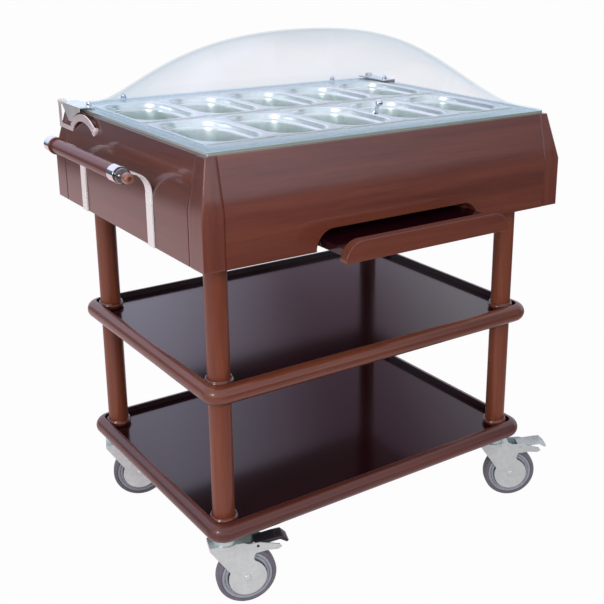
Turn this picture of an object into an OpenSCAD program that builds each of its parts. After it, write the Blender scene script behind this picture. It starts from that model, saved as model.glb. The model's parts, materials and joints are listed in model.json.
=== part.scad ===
// Serving trolley for starters: a lacquered wooden frame on swivel casters, a stainless
// top with ten drop-in pans under a hinged clear dome, and a pull-out plate shelf.
// X runs along the cart (the push handle is at -X), -Y is the side with the plate shelf.

/* [Box] */
// Length of the upper box
body_l = 928; // [912:2:980]
// Width of the upper box
body_w = 742; // [726:2:800]
// Height of the upright lower part of the box walls
skirt_h = 111; // [105:1:150]
// Height of the sloping upper part of the box walls
slope_h = 103; // [95:1:130]
// How far the sloping part leans in
slope_in = 23; // [10:1:28]
// Thickness of the box walls
wall_t = 22; // [19:1:24]
// Length of a corner block along the cart
block_l = 46; // [40:1:50]
// Width of a corner block across the cart
block_w = 58; // [50:1:64]
// Depth of the groove along each corner block's joints, and half its width
groove = 1.5; // [1:0.25:3]
// Thickness of the floor inside the box
floor_t = 18; // [12:1:22]

/* [Shelves and posts] */
// Distance from the end of the box to the post axes
post_inset_x = 72; // [72:1:90]
// Distance from the side of the box to the post axes
post_inset_y = 95; // [90:1:110]
// Diameter of the turned posts
post_d = 48; // [40:1:48]
// Diameter of the turned collar at a post's foot
collar_d = 55; // [53:1:55]
// Height of the collar
collar_h = 16; // [10:1:20]
// Overhang of the shelves beyond the post axes, along the cart
shelf_over_x = 51; // [51:1:70]
// Overhang of the shelves beyond the post axes, across the cart
shelf_over_y = 59; // [51:1:75]
// Height of a shelf's rounded rim
rim_h = 42; // [34:2:48]
// Width of a shelf's rounded rim
rim_w = 22; // [21:1:23]
// Corner radius of the shelves
rim_r = 43; // [32:1:50]
// How far a shelf's panel lies below its rim
panel_drop = 14; // [8:1:18]
// Open height between the two shelves
lower_bay = 273; // [220:1:320]
// Open height between the middle shelf and the box
upper_bay = 259; // [220:1:320]
// Diameter of the tie rods inside the posts
rod_d = 10; // [8:1:12]

/* [Plate shelf] */
// Height of the plate shelf's front lip
lip_h = 42; // [34:1:44]
// Length of the lip along its lower edge
lip_l = 424; // [340:2:520]
// Length of the plate shelf's board along the cart
tray_l = 404; // [320:2:404]
// Depth of the plate shelf from its front to its back edge
tray_depth = 420; // [380:5:440]
// Thickness of the plate shelf's board
tray_t = 16; // [12:1:18]
// How far the plate shelf stands out in the photographed state
tray_out = 100; // [60:1:120]

/* [Top and pans] */
// Length of one pan across the cart
pan_l = 265; // [255:1:268]
// Width of the top beyond the outermost pans, at each end of the cart
end_border = 30; // [28:1:36]
// Depth of the pans
pan_h = 100; // [65:1:110]
// Sheet thickness of the pans
pan_t = 1.2; // [1:0.1:1.6]
// Width of a pan's flat rim
pan_rim = 10; // [8:0.5:12]
// Corner radius of a pan's mouth
pan_r = 44; // [30:1:50]
// Gap between neighbouring pans
pan_gap = 1; // [1:0.5:2]
// Free width between the two rows of pans
row_gap = 24; // [16:1:30]
// Sheet thickness of the top
deck_t = 1.5; // [1:0.1:2]
// Height of the top above the wood
deck_h = 7; // [5:0.5:10]
// Strip of bare wood round the top
deck_inset = 6.5; // [4:0.5:8]

/* [Dome] */
// Wall thickness of the dome
dome_t = 3; // [2:0.5:3]
// Height of the dome above its flange
dome_h = 176; // [140:2:200]
// Width of the dome's flat flange
flange_w = 25; // [22:1:26]
// Length of the dome's knob
knob_l = 34; // [26:1:40]
// Distance of the knob from the dome's front edge
knob_in = 69; // [60:1:90]

/* [Push handle] */
// Distance of the handle's axis from the end of the box
handle_off = 64; // [55:1:80]
// Distance of the handle's axis below the wood's top edge
handle_drop = 56; // [45:1:60]
// Distance between the two straps
strap_gap = 348; // [300:2:380]
// Offset of the handle towards the rear
handle_shift = 24; // [0:1:30]
// Diameter of the wooden bar
bar_d = 31; // [26:1:34]
// Width of the straps
strap_w = 26; // [14:1:28]
// Thickness of the straps
strap_t = 4; // [3:0.5:5]

/* [Casters] */
// Wheel diameter
wheel_d = 132; // [110:1:140]
// Width of the tyre
wheel_w = 32; // [26:1:36]
// Distance of the wheel axle behind the swivel axis
trail = 44; // [36:1:48]
// Thickness of the fork's sheet steel
fork_t = 3; // [2.5:0.5:4]
// Diameter of the round hub cover at the foot of each fork leg
cover_d = 83; // [70:1:90]
// Swivel angle of the front left caster as it stands
yaw_front_left = -18; // [-40:1:40]
// Swivel angle of the front right caster as it stands
yaw_front_right = -30; // [-40:1:40]
// Swivel angle of the rear left caster as it stands
yaw_rear_left = -22; // [-40:1:40]
// Swivel angle of the rear right caster as it stands
yaw_rear_right = -20; // [-40:1:40]

/* [Hidden] */
$fn = 64;
// Clearances: a running shaft, a sliding board, a part that rests on another and moves
run_gap = 0.05;
slide_gap = 0.4;
rest_gap = 0.3;
// Overshoot of a cutting tool beyond the face that it cuts
cut = 5;

// Heights, from the floor up
wheel_r = wheel_d / 2;
caster_h = wheel_d + 45;
low_top = caster_h + rim_h;
mid_bottom = low_top + lower_bay;
mid_top = mid_bottom + rim_h;
box_z = mid_top + upper_bay;
kink_z = box_z + skirt_h;
wood_top = kink_z + slope_h;
deck_top = wood_top + deck_h;
flange_z = deck_top + rest_gap + dome_t;
panel_t = rim_h - panel_drop;

// Half sizes in plan
bl = body_l / 2;
bw = body_w / 2;
px = bl - post_inset_x;
py = bw - post_inset_y;
sx = px + shelf_over_x;
sy = py + shelf_over_y;
dx = bl - slope_in - deck_inset;
dy = bw - slope_in - deck_inset;
SIDES = [[-1, -1], [1, -1], [-1, 1], [1, 1]];
YAWS = [yaw_front_left, yaw_front_right, yaw_rear_left, yaw_rear_right];

// Caster details
plate_d = 76;
plate_t = 3;
crown_top = wheel_d + 21;
crown_t = 8;
race_d = 50;
king_d = 12;
axle_d = 12;
leg_in = wheel_w / 2 + 3;
leg_out = leg_in + fork_t;
hub_r = wheel_r - 17.5;
pedal_w = 2 * leg_in - 4;
pedal_pivot = [trail + 24, wheel_d + 8];
pedal_tip = trail + 93;
nut_h = 5;
nut_sink = 9;

// Plate shelf: its board hangs in grooved runners under the box floor
lip_t = wall_t;
lip_r = 40;
lip_gap = 2;
tray_z = box_z + 8;
floor_z = box_z + lip_h + lip_gap + 1;
floor_top = floor_z + floor_t;
runner_w = 22;
runner_hold = 9;
runner_y = bw - wall_t - 4;
lip_y = -bw - tray_out;
board_y = lip_y + lip_t;

// Top: one long opening with bars that carry the pans' rims
pitch = (2 * (dx - end_border) + pan_gap) / 5;
pan_w = pitch - pan_gap;
pan_seat = pan_rim - 1;
pan_play = 0.5;
open_x = 2.5 * pitch - pan_gap / 2 - pan_seat + pan_play;
open_y = row_gap / 2 + pan_l - pan_seat + pan_play;
bar_half = row_gap / 2 + pan_seat - pan_play;
cross_half = pan_gap / 2 + pan_seat - pan_play;
bar_depth = 12;
tub_gap = 6;
tub_t = 1;

// Push handle
hx = -bl - handle_off;
hz = wood_top - handle_drop;
band_d = 35;
band_w = 30;
ball_d = 32;
ball_w = 17;
button_d = 22;
button_w = 15;
ring_d = 38;
ring_w = 7;

// Dome hinges: the pivot lies behind and above the rear edge of the top
pivot_y = dy + 10.5;
pivot_z = deck_top + 6;
pin_d = 6;
eye_r = 6;
cheek_off = 8;
cheek_x = bl - slope_in + cheek_off;
cheek_t = 2.4;
cheek_drop = min(26, (cheek_off - 2 * rest_gap) * slope_h / slope_in);
leaf_t = 2.5;
arm_x = cheek_x + cheek_t + rest_gap;
arm_t = 3;
arc_back = 140;
arc_drop = 107;
arc_y = pivot_y - arc_back;
arc_z = wood_top - arc_drop;
arc_r = 100;
arc_start = 128;
arc_end = 55;
arm_half = 8;
stay_half = 5;
leaf_bolt_y = dy - 94;
leaf_in = dx - 24;
rear_bolt_in = 130;

// The model stands with the middle of its outer box over the origin
reach_left = bl + handle_off + ring_d / 2;
reach_right = px + pedal_tip * cos(yaw_front_right) + pedal_w / 2 * abs(sin(yaw_front_right));
reach_front = bw + tray_out;
origin = [(reach_left - reach_right) / 2, (reach_front - bw) / 2, 0];

// Rectangle with round corners, centred
module round_rect(l, w, r) {
    union() {
        square([l - 2 * r, w], center = true);
        square([l, w - 2 * r], center = true);
        for (s = SIDES) translate([s[0] * (l / 2 - r), s[1] * (w / 2 - r)]) circle(r = r);
    }
}

// A child placed at the four post axes
module at_posts() {
    for (s = SIDES) translate([s[0] * px, s[1] * py, 0]) children();
}

// Section of a shelf's rim: half round outside, upright inside
module rim_section() {
    intersection() {
        union() {
            translate([-rim_h / 2, 0]) circle(d = rim_h);
            translate([-rim_w, -rim_h / 2]) square([rim_w - rim_h / 2, rim_h]);
        }
        translate([-rim_w, -rim_h / 2]) square([rim_w, rim_h]);
    }
}

// Straight stretch of rim of length l along Y, its outer edge at x = 0
module rim_run(l) {
    rotate([90, 0, 0]) linear_extrude(l, center = true) rim_section();
}

module shelf_rim(top) {
    color("#5d2f26") translate(origin) translate([0, 0, top - rim_h / 2]) {
        for (s = [-1, 1]) {
            rotate(s < 0 ? 180 : 0) translate([sx, 0, 0]) rim_run(2 * (sy - rim_r));
            rotate(s * 90) translate([sy, 0, 0]) rim_run(2 * (sx - rim_r));
        }
        for (a = [0 : 3]) {
            ux = a == 0 || a == 3 ? 1 : -1;
            uy = a < 2 ? 1 : -1;
            translate([ux * (sx - rim_r), uy * (sy - rim_r), 0]) rotate(a * 90)
                rotate_extrude(angle = 90) translate([rim_r, 0]) rim_section();
        }
    }
}

// Panel inside a rim, bored for the tie rods
module shelf_panel(top) {
    color("#2b1a1c") translate(origin) difference() {
        translate([0, 0, top - rim_h]) linear_extrude(panel_t)
            round_rect(2 * (sx - rim_w), 2 * (sy - rim_w), rim_r - rim_w);
        at_posts() translate([0, 0, top - rim_h - cut]) cylinder(d = rod_d + 1, h = rim_h + 2 * cut);
    }
}

// Turned post between two heights, bored for the rod
module post(z1, z2) {
    difference() {
        translate([0, 0, z1]) cylinder(d = post_d, h = z2 - z1);
        translate([0, 0, z1 - cut]) cylinder(d = rod_d + 1, h = z2 - z1 + 2 * cut);
    }
}

module lower_posts() {
    color("#6b3a2c") translate(origin) at_posts() post(low_top - panel_drop, mid_bottom);
}

module upper_posts() {
    color("#6b3a2c") translate(origin) at_posts() post(mid_top - panel_drop, floor_z);
}

// Turned ring with a rounded outside, slipped over the post's foot
module collar(top) {
    bead = collar_h / 2;
    translate([0, 0, top - panel_drop]) rotate_extrude() difference() {
        union() {
            translate([post_d / 2 + run_gap, 0]) square([(collar_d - post_d) / 2 - 2, collar_h]);
            translate([0, bead]) intersection() {
                translate([collar_d / 2 - bead, 0]) circle(r = bead);
                translate([post_d / 2 + run_gap, -bead]) square([collar_d, collar_h]);
            }
        }
        translate([0, -cut]) square([post_d / 2 + run_gap, collar_h + 2 * cut]);
    }
}

module post_collars() {
    color("#4a2019") translate(origin) at_posts() {
        collar(low_top);
        collar(mid_top);
    }
}

// Rods that draw shelves, posts and box floor together, with nuts sunk into the floor
module tie_rods() {
    color("#a7abad") translate(origin) at_posts() {
        translate([0, 0, caster_h]) cylinder(d = rod_d, h = floor_top - 1 - caster_h);
        translate([0, 0, floor_top - nut_sink]) cylinder(d = rod_d + 9, h = nut_sink - 1, $fn = 6);
    }
}

// Section of a box wall, its outer face at x = -inset: upright below, leaning in above
module wall_section(inset) {
    polygon([
        [-inset, box_z], [-wall_t, box_z], [-wall_t, kink_z], [-wall_t - slope_in, wood_top],
        [-slope_in - inset, wood_top], [-inset, kink_z]
    ]);
}

// Box wall of length l, standing at distance out on the +X side, set back at its ends
module wall(l, out) {
    translate([out, 0, 0]) rotate([90, 0, 0]) {
        linear_extrude(l, center = true) wall_section(groove);
        linear_extrude(l - 2 * groove, center = true) wall_section(0);
    }
}

// Prism between two opposite faces of the box, with half size out, turned about Z
module side_form(out, width, turn) {
    rotate(turn) rotate([90, 0, 0]) linear_extrude(2 * width, center = true) polygon([
        [-out, box_z - cut], [out, box_z - cut], [out, kink_z], [out - slope_in, wood_top],
        [-out + slope_in, wood_top], [-out, kink_z]
    ]);
}

// Corner block number s, moved in by inset on its two outer faces
module corner_block(s, l, w, inset) {
    intersection() {
        translate([s[0] * (bl - l / 2), s[1] * (bw - w / 2), (box_z + wood_top) / 2])
            cube([l, w, wood_top - box_z], center = true);
        side_form(bl - inset, body_w, 0);
        side_form(bw - inset, body_l, 90);
    }
}

module corner_blocks() {
    color("#55291f") translate(origin) for (s = SIDES) union() {
        corner_block(s, block_l, block_w, groove);
        corner_block(s, block_l - groove, block_w - groove, 0);
    }
}

// Outline of the plate shelf's lip, grown by a gap, in the plane of the front wall
module lip_outline(gap) {
    l = lip_l / 2 + gap;
    h = lip_h + gap;
    r = lip_r + gap;
    union() {
        translate([-l + r, 0]) square([2 * (l - r), h]);
        for (s = [-1, 1]) translate([s * (l - r), 0]) intersection() {
            translate([0, h - r]) circle(r = r);
            translate([s < 0 ? -r : 0, 0]) square([r, h]);
        }
    }
}

module front_panel() {
    l = 2 * (bl - block_l);
    color("#63332a") translate(origin) difference() {
        rotate(-90) wall(l, bw);
        translate([0, -bw + wall_t + cut, box_z]) rotate([90, 0, 0])
            linear_extrude(wall_t + 2 * cut) union() {
                lip_outline(lip_gap);
                translate([-lip_l / 2 - lip_gap, -cut]) square([lip_l + 2 * lip_gap, cut + 0.01]);
            }
    }
}

module rear_panel() {
    color("#63332a") translate(origin) rotate(90) wall(2 * (bl - block_l), bw);
}

// End wall on the +X side, with the curved recess behind the hinge's arm
module end_panel() {
    l = 2 * (bw - block_w);
    color("#63332a") difference() {
        wall(l, bl);
        translate([arm_x - 12, 0, 0]) rotate([90, 0, 90]) linear_extrude(40)
            arc_band(arc_start - 9, arc_end - 4, arm_half + 3);
    }
}

module right_panel() {
    translate(origin) end_panel();
}

module left_panel() {
    translate(origin) mirror([1, 0, 0]) end_panel();
}

module box_floor() {
    color("#8a6a4c") translate(origin) difference() {
        translate([0, 0, floor_z + floor_t / 2])
            cube([2 * (bl - wall_t), 2 * (bw - wall_t), floor_t], center = true);
        for (s = SIDES) translate([s[0] * bl, s[1] * bw, floor_z + floor_t / 2])
            cube([2 * block_l, 2 * block_w, 2 * floor_t], center = true);
        at_posts() {
            translate([0, 0, floor_z - cut]) cylinder(d = rod_d + 1, h = floor_t + 2 * cut);
            translate([0, 0, floor_top - nut_sink]) cylinder(d = rod_d + 11, h = nut_sink + cut);
        }
    }
}

// Stainless tub of the cold well, hung from the top and standing on the box floor
module well_liner() {
    l = 2 * (open_x + tub_gap);
    w = 2 * (open_y + tub_gap);
    h = deck_top - deck_t - floor_top;
    color("#b9c0c4") translate(origin) translate([0, 0, floor_top]) difference() {
        linear_extrude(h) round_rect(l, w, 20);
        translate([0, 0, tub_t]) linear_extrude(h) round_rect(l - 2 * tub_t, w - 2 * tub_t, 20 - tub_t);
    }
}

// Stainless top with a turned-down edge that stands on the wood
module top_frame() {
    r = 6;
    color("#c4cbcf") translate(origin) translate([0, 0, wood_top]) difference() {
        linear_extrude(deck_h) round_rect(2 * dx, 2 * dy, r);
        translate([0, 0, -cut]) linear_extrude(deck_h - deck_t + cut)
            round_rect(2 * (dx - 2 * deck_t), 2 * (dy - 2 * deck_t), r - 2 * deck_t);
        translate([0, 0, -cut]) linear_extrude(deck_h + 2 * cut) square([2 * open_x, 2 * open_y], center = true);
    }
}

// One bar: a flat top with two turned-down legs, along X
module bar(l, half) {
    difference() {
        translate([-l / 2, -half, -bar_depth]) cube([l, 2 * half, bar_depth]);
        translate([-l / 2 - cut, -half + deck_t, -bar_depth - cut])
            cube([l + 2 * cut, 2 * (half - deck_t), bar_depth - deck_t + cut]);
    }
}

module divider_bars() {
    l = open_y - bar_half;
    color("#bcc4c8") translate(origin) translate([0, 0, deck_top]) {
        bar(2 * open_x, bar_half);
        for (x = [-1.5 : 1.5], s = [-1, 1])
            translate([x * pitch, s * (bar_half + l / 2), 0]) rotate(90) bar(l, cross_half);
    }
}

// Slab with round corners, one level of a pan
module pan_level(l, w, r, z) {
    translate([0, 0, z]) linear_extrude(0.2) hull() for (s = SIDES)
        translate([s[0] * (l / 2 - r), s[1] * (w / 2 - r)]) circle(r = r, $fn = 24);
}

// Pan's body, grown inwards by t: upright mouth, tapered side, rounded foot
module pan_body(t, top) {
    l = pan_w - 2 * pan_seat - 2 * t;
    w = pan_l - 2 * pan_seat - 2 * t;
    hull() {
        pan_level(l, w, pan_r - t, top);
        pan_level(l, w, pan_r - t, -4);
        pan_level(l - 12, w - 12, pan_r - t, 14 - pan_h);
        pan_level(l - 22, w - 22, pan_r - 5 - t, 4 - pan_h + t / 2);
        pan_level(l - 34, w - 34, pan_r - 11 - t, t - pan_h);
    }
}

// Deep-drawn pan number i of a row, s = -1 for the front row and 1 for the rear row
module pan(i, s) {
    color("#ccd3d7") translate(origin)
        translate([(i - 3) * pitch, s * (row_gap + pan_l) / 2, deck_top]) difference() {
            union() {
                linear_extrude(pan_t) round_rect(pan_w, pan_l, 12);
                pan_body(0, 0.5);
            }
            pan_body(pan_t, cut);
        }
}

// Dome's height above its flange as a share, for plan shares u and v of the half sizes
function swell(u, v) =
    let (a = min(abs(u), 1), b = min(abs(v), 1))
    pow(1 - pow(a, 2.2), 0.45) * pow(1 - pow(b, 1.7), 1.38);

// Grid positions from the flange's outer edge over the blown part, closer near its edge
function grid(half, inner, n) =
    concat([-half], [for (i = [0 : n]) -inner * cos(180 * i / n)], [half]);

// Points of one face of the dome: the blown part has half sizes a and b and height h
function dome_face(a, b, h, z, nx, ny) =
    [for (x = grid(dx, a, nx)) for (y = grid(dy, b, ny)) [x, y, z + h * swell(x / a, y / b)]];

module dome() {
    nx = 28;
    ny = 22;
    a = dx - flange_w;
    b = dy - flange_w;
    rows = nx + 3;
    cols = ny + 3;
    count = rows * cols;
    upper = dome_face(a, b, dome_h, flange_z, nx, ny);
    lower = dome_face(a - dome_t, b - dome_t, dome_h, flange_z - dome_t, nx, ny);
    top_faces = [for (i = [0 : rows - 2]) for (j = [0 : cols - 2])
        let (k = i * cols + j) each [[k, k + 1, k + cols + 1], [k, k + cols + 1, k + cols]]];
    under_faces = [for (f = top_faces) [f[2] + count, f[1] + count, f[0] + count]];
    edge = concat(
        [for (i = [0 : rows - 2]) i * cols], [for (j = [0 : cols - 2]) (rows - 1) * cols + j],
        [for (i = [rows - 1 : -1 : 1]) i * cols + cols - 1], [for (j = [cols - 1 : -1 : 1]) j]);
    n = len(edge);
    side_faces = [for (i = [0 : n - 1]) let (p = edge[i], q = edge[(i + 1) % n])
        each [[p, q + count, p + count], [p, q, q + count]]];
    color("#dfe6ea", 0.35) translate(origin)
        polyhedron(concat(upper, lower), concat(top_faces, under_faces, side_faces));
}

// Place a child on the dome's front face with Z along the surface normal
module on_dome_front() {
    b = dy - flange_w;
    y = -dy + knob_in;
    step = 0.5;
    z = flange_z + dome_h * swell(0, y / b);
    rise = dome_h * (swell(0, (y + step) / b) - swell(0, (y - step) / b)) / (2 * step);
    translate([0, y, z]) rotate([atan(rise), 0, 0]) translate([0, 0, rest_gap]) children();
}

// Chrome knob: a flared foot, a waisted stem and a ball
module dome_knob() {
    ball = 8;
    color("#d5d9dc") translate(origin) on_dome_front() {
        cylinder(r1 = 8, r2 = 6, h = 4);
        translate([0, 0, 4]) cylinder(r1 = 4.5, r2 = 3.5, h = knob_l - 4 - 1.6 * ball);
        translate([0, 0, knob_l - ball]) sphere(r = ball);
    }
}

// Acorn nuts on the two hinge leaves and on the dome's rear flange
module dome_bolts() {
    color("#d5d9dc") translate(origin) for (s = [-1, 1]) {
        translate([s * (dx - 12), leaf_bolt_y, flange_z + leaf_t]) acorn();
        translate([s * (dx - rear_bolt_in), dy - 13, flange_z]) acorn();
    }
}

module acorn() {
    cylinder(r = 7.5, h = 1.2);
    translate([0, 0, 1.2]) cylinder(r = 6.5, h = 5, $fn = 6);
    translate([0, 0, 6.2]) intersection() {
        sphere(r = 5.5);
        translate([0, 0, 3]) cube([12, 12, 6], center = true);
    }
}

// Stretch of a ring round the hinge's arc centre, between two angles in the Y-Z plane
module arc_band(start, end, half) {
    far = 2 * arc_r;
    translate([arc_y, arc_z]) intersection() {
        difference() {
            circle(r = arc_r + half);
            circle(r = arc_r - half);
        }
        polygon([
            [0, 0], [far * cos(start), far * sin(start)], [0, 2 * far],
            [far * cos(end), far * sin(end)]
        ]);
    }
}

// Point of the hinge's arc at an angle
function on_arc(angle) = [arc_y + arc_r * cos(angle), arc_z + arc_r * sin(angle)];

// Steel arm on the +X side: a foot on the end wall, a curved arm with two holes and an
// upright behind the corner that holds the pivot pin
module hinge_bracket() {
    foot = on_arc(arc_start);
    knee = on_arc(arc_end);
    low_z = knee[1] - 13;
    seat_x = bl - slope_in;
    pin_end = 12;
    color("#c9ced1") {
        translate([arm_x, 0, 0]) rotate([90, 0, 90]) linear_extrude(arm_t) difference() {
            union() {
                arc_band(arc_start, arc_end, arm_half);
                translate(foot) circle(r = arm_half + 2);
                translate(knee) circle(r = arm_half);
                polygon([
                    [knee[0] - arm_half, knee[1]], [knee[0] + arm_half, knee[1] + 1],
                    [knee[0] + 18, low_z + arm_half], [knee[0] + 8, low_z - arm_half]
                ]);
                translate([knee[0] + 8, low_z - arm_half])
                    square([pivot_y + stay_half - knee[0] - 8, 2 * stay_half]);
                translate([pivot_y - stay_half, low_z - arm_half])
                    square([2 * stay_half, pivot_z - low_z + arm_half]);
                translate([pivot_y, pivot_z]) circle(r = stay_half);
            }
            for (a = [109, 116]) translate(on_arc(a)) circle(d = 4);
        }
        difference() {
            translate([seat_x, foot[0], foot[1]]) rotate([0, 90, 0])
                cylinder(r = arm_half, h = arm_x - seat_x);
            side_form(bl, body_w, 0);
        }
        translate([arm_x + arm_t, foot[0], foot[1]]) rotate([0, 90, 0]) cylinder(r = 5, h = 2);
        translate([cheek_x - pin_end, pivot_y, pivot_z]) rotate([0, 90, 0])
            cylinder(d = pin_d, h = arm_x + arm_t + 2 - cheek_x + pin_end);
    }
}

// Chrome leaf on the dome's rear corner: a plate, a cheek outside the wall and an eye
module hinge_leaf() {
    front = leaf_bolt_y - 10;
    leaf_top = flange_z + leaf_t;
    low = wood_top - cheek_drop;
    eye_l = 10;
    color("#d5d9dc") difference() {
        union() {
            translate([leaf_in, front, flange_z])
                cube([cheek_x + cheek_t - leaf_in, pivot_y - front, leaf_t]);
            translate([cheek_x, 0, 0]) rotate([90, 0, 90]) linear_extrude(cheek_t) union() {
                difference() {
                    polygon([
                        [front, leaf_top], [front, low], [pivot_y - 47, low],
                        [pivot_y - 11, pivot_z - eye_r], [pivot_y, pivot_z], [pivot_y, leaf_top]
                    ]);
                    translate([arc_y, arc_z]) circle(r = arc_r + arm_half + 4);
                }
                translate([pivot_y, pivot_z]) circle(r = eye_r);
            }
            translate([cheek_x - eye_l, pivot_y, pivot_z]) rotate([0, 90, 0])
                cylinder(r = eye_r, h = eye_l + cheek_t);
        }
        translate([cheek_x - 2 * eye_l, pivot_y, pivot_z]) rotate([0, 90, 0])
            cylinder(d = pin_d + 2 * run_gap, h = 4 * eye_l);
    }
}

module hinge_bracket_right() {
    translate(origin) hinge_bracket();
}

module hinge_bracket_left() {
    translate(origin) mirror([1, 0, 0]) hinge_bracket();
}

module hinge_leaf_right() {
    translate(origin) hinge_leaf();
}

module hinge_leaf_left() {
    translate(origin) mirror([1, 0, 0]) hinge_leaf();
}

module plate_shelf_board() {
    color("#2b1a1c") translate(origin)
        translate([-tray_l / 2, board_y, tray_z]) cube([tray_l, tray_depth - lip_t, tray_t]);
}

module plate_shelf_lip() {
    color("#63332a") translate(origin) translate([0, board_y, box_z]) rotate([90, 0, 0])
        linear_extrude(lip_t) lip_outline(0);
}

// Two grooved runners under the box floor
module shelf_runners() {
    x = tray_l / 2 - runner_hold;
    l = runner_y + 80;
    h = floor_z - tray_z + 5;
    color("#5d2f26") translate(origin) for (s = [-1, 1]) scale([s, 1, 1]) difference() {
        translate([x, -runner_y, floor_z - h]) cube([runner_w, l, h]);
        translate([x - cut, -runner_y - cut, tray_z - slide_gap])
            cube([runner_hold + slide_gap + cut, l + 2 * cut, tray_t + 2 * slide_gap]);
    }
}

// A child on the handle's axis, at distance y from the handle's middle along the axis
module on_handle(y) {
    translate([hx, handle_shift + y, hz]) rotate([-90, 0, 0]) children();
}

// Wooden bar with a turned ring at its rear end
module handle_bar() {
    e = (strap_gap - band_w) / 2;
    color("#6b3a2c") translate(origin) {
        on_handle(-e) cylinder(d = bar_d, h = 2 * e);
        on_handle(e - ring_w) cylinder(d = ring_d, h = ring_w);
    }
}

// Chrome bands that hold the straps, the rear one closed by a shallow cap
module handle_bands() {
    color("#c9ced1") translate(origin) {
        for (s = [-1, 1]) on_handle(s * strap_gap / 2 - band_w / 2) cylinder(d = band_d, h = band_w);
        on_handle((strap_gap + band_w) / 2) cylinder(d1 = band_d - 4, d2 = band_d - 16, h = 5);
    }
}

// Turned ball at the front end with a small bored button
module handle_finial() {
    color("#3a1b15") translate(origin)
        translate([hx, handle_shift - (strap_gap + band_w) / 2, hz]) rotate([90, 0, 0])
            rotate_extrude() difference() {
                union() {
                    square([ball_d / 2 - ball_w / 2, ball_w]);
                    translate([0, ball_w / 2]) intersection() {
                        translate([ball_d / 2 - ball_w / 2, 0]) circle(d = ball_w);
                        translate([0, -ball_w / 2]) square([ball_d / 2, ball_w]);
                    }
                    translate([0, ball_w]) square([button_d / 2, button_w]);
                }
                translate([0, ball_w + 2]) square([2.5, button_w]);
            }
}

// Flat straps: up the box wall, then out to the handle's bands in a quarter circle
module handle_straps() {
    r = handle_off - band_d / 2;
    bend_z = hz + strap_t / 2 - r;
    color("#c9ced1") translate(origin) for (s = [-1, 1])
        translate([-bl, handle_shift + s * strap_gap / 2, 0]) rotate([90, 0, 0])
            linear_extrude(strap_w, center = true) union() {
                translate([-strap_t, box_z]) square([strap_t, bend_z - box_z]);
                translate([-r, bend_z]) intersection() {
                    difference() {
                        circle(r = r);
                        circle(r = r - strap_t);
                    }
                    square([r, r]);
                }
            }
}

// A child in the frame of caster i: origin on the floor below the swivel axis, and the
// wheel trails towards +X
module at_caster(i) {
    s = SIDES[i];
    translate(origin) translate([s[0] * px, s[1] * py, 0]) rotate(YAWS[i]) children();
}

// Fixed top plates with the upper race and the king pin
module caster_plates() {
    color("#bcc2c6") translate(origin) at_posts() {
        translate([0, 0, caster_h - plate_t / 2]) cylinder(d = plate_d, h = plate_t, center = true);
        translate([0, 0, crown_top + rest_gap]) cylinder(d = race_d, h = caster_h - plate_t - crown_top - rest_gap);
        translate([0, 0, crown_top - crown_t - 4]) cylinder(d = king_d, h = crown_t + 8);
        translate([0, 0, crown_top - crown_t - 5]) cylinder(d = king_d + 8, h = 5 - rest_gap);
    }
}

// Side view of a fork leg: hub cover, raked leg and, with a brake, the pedal's arm
module leg_outline(brake) {
    union() {
        translate([trail, wheel_r]) circle(d = cover_d);
        polygon([
            [-36, crown_top], [-36, crown_top - 8], [trail - cover_d / 2 + 3, wheel_r + 19],
            [trail, wheel_r], [trail + 20, wheel_r + 33], [trail + 14, wheel_d - 21],
            [trail + 18, wheel_d - 10], [trail + 24, wheel_d + 6], [36, crown_top]
        ]);
        if (brake) polygon([
            [trail + 17, wheel_d - 9], [trail + 46, wheel_d - 6], [trail + 68, wheel_d - 8],
            [trail + 77, wheel_d - 3], [trail + 72, wheel_d + 4], [trail + 28, wheel_d + 16],
            [trail - 6, wheel_d + 16]
        ]);
    }
}

module fork(i, brake) {
    color("#bcc2c6") at_caster(i) difference() {
        union() {
            for (s = [-1, 1]) translate([0, s * (leg_in + fork_t / 2), 0]) rotate([90, 0, 0])
                linear_extrude(fork_t, center = true) leg_outline(brake);
            translate([-36, -leg_in - 1, crown_top - crown_t]) cube([72, 2 * leg_in + 2, crown_t]);
            translate([0, 0, crown_top - crown_t]) cylinder(d = 58, h = crown_t);
        }
        translate([0, 0, crown_top - crown_t - cut])
            cylinder(d = king_d + 2 * run_gap, h = crown_t + 2 * cut);
        translate([trail, 0, wheel_r]) rotate([90, 0, 0])
            cylinder(d = axle_d + 2 * run_gap, h = 4 * leg_out, center = true);
        if (brake) translate([pedal_pivot[0], 0, pedal_pivot[1]]) rotate([90, 0, 0])
            cylinder(d = 6 + 2 * run_gap, h = 4 * leg_out, center = true);
    }
}

module axle(i) {
    color("#a7abad") at_caster(i) translate([trail, 0, wheel_r]) rotate([90, 0, 0]) {
        cylinder(d = axle_d, h = 2 * leg_out, center = true);
        for (s = [-1, 1]) translate([0, 0, s * (leg_out + nut_h / 2)])
            cylinder(d = 17, h = nut_h, center = true, $fn = 6);
    }
}

// Tyre with a rounded tread and a shallow step in each side
module tyre(i) {
    w = wheel_w / 2;
    color("#77757f") at_caster(i) translate([trail, 0, wheel_r]) rotate([90, 0, 0])
        rotate_extrude($fn = 96) difference() {
            union() {
                translate([hub_r + run_gap, -w + 1]) square([4, wheel_w - 2]);
                translate([hub_r + 3, -w]) square([wheel_r - hub_r - 11, wheel_w]);
                for (s = [-1, 1]) translate([wheel_r - 8, s * (w - 8)]) circle(r = 8);
                translate([wheel_r - 9, -w + 8]) square([9, wheel_w - 16]);
                translate([wheel_r - 12, -w + 2]) square([8, wheel_w - 4]);
            }
            for (s = [-1, 1]) translate([wheel_r - 10, s * w]) circle(r = 1);
        }
}

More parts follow.
